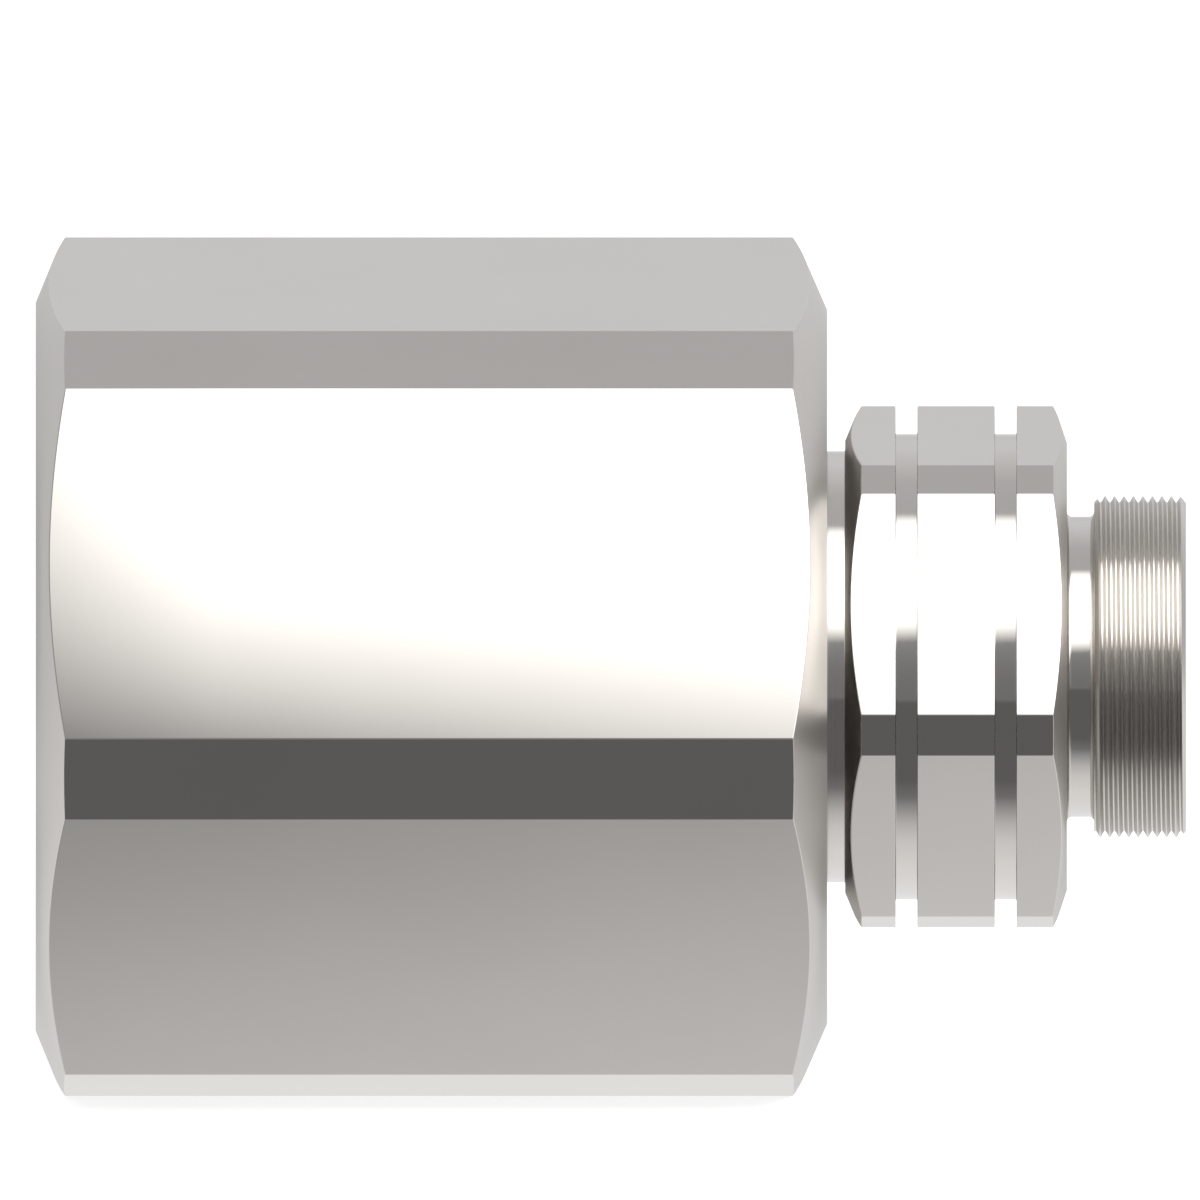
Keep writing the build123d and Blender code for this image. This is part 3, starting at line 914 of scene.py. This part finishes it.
def soft_card(name, width, depth, borders, strength, tone, place, turn):
    """A card that glows, and fades to nothing over its soft borders.

    A border is (axis, slant, where it starts, how far inwards the card is at full strength).
    """
    material, tree, output = bare_material(name)
    glow = node_of(tree, "ShaderNodeEmission", in_Strength=strength, in_Color=(*tone, 1))
    clear = tree.nodes.new("ShaderNodeBsdfTransparent")
    mixed = tree.nodes.new("ShaderNodeMixShader")
    spot = node_of(tree, "ShaderNodeTexCoord")
    split = node_of(tree, "ShaderNodeSeparateXYZ")
    tree.links.new(spot.outputs["Object"], split.inputs[0])
    fade = None
    for axis, slant, edge, inwards in borders:
        along = leaning_sum(tree, slant, split, axis)
        ramp = ramp_of(tree, along, edge, edge + inwards)
        if fade is None:
            fade = ramp.outputs["Result"]
            continue
        both = node_of(tree, "ShaderNodeMath", operation="MULTIPLY")
        tree.links.new(fade, both.inputs[0])
        tree.links.new(ramp.outputs["Result"], both.inputs[1])
        fade = both.outputs[0]
    tree.links.new(fade, mixed.inputs["Fac"])
    tree.links.new(clear.outputs[0], mixed.inputs[1])
    tree.links.new(glow.outputs[0], mixed.inputs[2])
    tree.links.new(mixed.outputs[0], output.inputs["Surface"])
    card = sheet_of(name, width, depth, place, turn, material)
    card.visible_camera = False
    card.visible_shadow = False
    return card


left_border = ("X", 0, -186 * mm, 41 * mm)
leaning_border = ("Y", 0.131, -76.6 * mm, 37.6 * mm)
top_border = ("Y", 0, 107 * mm, -52 * mm)
soft_card(
    "key light",
    width=410 * mm,
    depth=214 * mm,
    borders=(left_border, leaning_border, top_border),
    strength=3.5,
    tone=(1.0, 0.985, 0.965),
    place=(55 * mm, -69.6 * mm, 104.9 * mm),
    turn=(radians(45), 0, 0),
)

# %% [markdown]
# ### The ground in the metal
#
# The flats that look down mirror the ground, dark near the camera and light further back. A
# real floor so close would be one even grey, so the metal sees a graded card far below it
# instead of the floor, and nothing else sees that card.

# %% Graded ground card
def shades(tree, value, start, stop, steps, blue=1.0):
    """Grey levels along a value between start and stop. A step is (value, grey)."""
    reach = ramp_of(tree, value, start, stop)
    ramp = tree.nodes.new("ShaderNodeValToRGB")
    elements = ramp.color_ramp.elements
    while len(elements) < len(steps):
        elements.new(0.5)
    for element, (place, grey) in zip(elements, steps):
        element.position = (place - start) / (stop - start)
        element.color = (grey, grey, grey * blue, 1)
    tree.links.new(reach.outputs["Result"], ramp.inputs["Fac"])
    return ramp.outputs["Color"]


ground_near, ground_far = -200 * mm, 600 * mm
ground_slant = 0.155
near_greys = ((-160, 0.16), (-116, 0.24), (-82, 0.52), (-65, 0.68), (-55, 0.75), (-30, 0.91))
far_greys = ((18, 1.04), (80, 1.06), (166, 1.0), (480, 0.76))
ground_greys = [(y * mm, grey) for y, grey in near_greys + far_greys]
ground_place = (-64 * mm, 0, -144 * mm)

ground_material, tree, output = bare_material("graded card")
split = node_of(tree, "ShaderNodeSeparateXYZ")
tree.links.new(node_of(tree, "ShaderNodeTexCoord").outputs["Object"], split.inputs[0])
across_ground = leaning_sum(tree, ground_slant, split, "Y")
glow = node_of(tree, "ShaderNodeEmission", in_Strength=1.0)
greys = shades(tree, across_ground, ground_near, ground_far, ground_greys)
tree.links.new(greys, glow.inputs["Color"])
tree.links.new(glow.outputs[0], output.inputs["Surface"])
ground = sheet_of("graded card", 8, 8, ground_place, level, ground_material)
ground.visible_camera = False
ground.visible_diffuse = False
ground.visible_shadow = False
ground.visible_transmission = False

# %% [markdown]
# ### The walls
#
# Everything else that the metal shows is the world: dim behind the camera, lighter at the
# sides and lightest behind the plug. Its grey follows the direction's Y.

# %% World
world = bpy.data.worlds.new("studio")
bpy.context.scene.world = world
world.use_nodes = True
tree = world.node_tree
tree.nodes.clear()
sky = tree.nodes.new("ShaderNodeOutputWorld")
wall = node_of(tree, "ShaderNodeBackground", in_Strength=1.0)
direction = node_of(tree, "ShaderNodeTexCoord")
split = node_of(tree, "ShaderNodeSeparateXYZ")
tree.links.new(direction.outputs["Generated"], split.inputs[0])
front_greys = ((-1.0, 0.25), (-0.9, 0.36), (-0.7, 0.34), (0.0, 0.60), (0.5, 0.645))
back_greys = ((0.7, 0.76), (0.9, 0.84), (0.97, 0.79), (1.0, 0.70))
greys = shades(tree, split.outputs["Y"], -1.0, 1.0, front_greys + back_greys, blue=1.01)
tree.links.new(greys, wall.inputs["Color"])
tree.links.new(wall.outputs[0], sky.inputs["Surface"])

# %% [markdown]
# ## The picture and the sizes
#
# The Standard view shows the greys as they are. The last cell prints the box of the solids.

# %% Picture settings and sizes
bpy.context.scene.view_settings.view_transform = "Standard"
print("CAD box", [round(c, 5) for c in (*cad_low, *cad_high)])
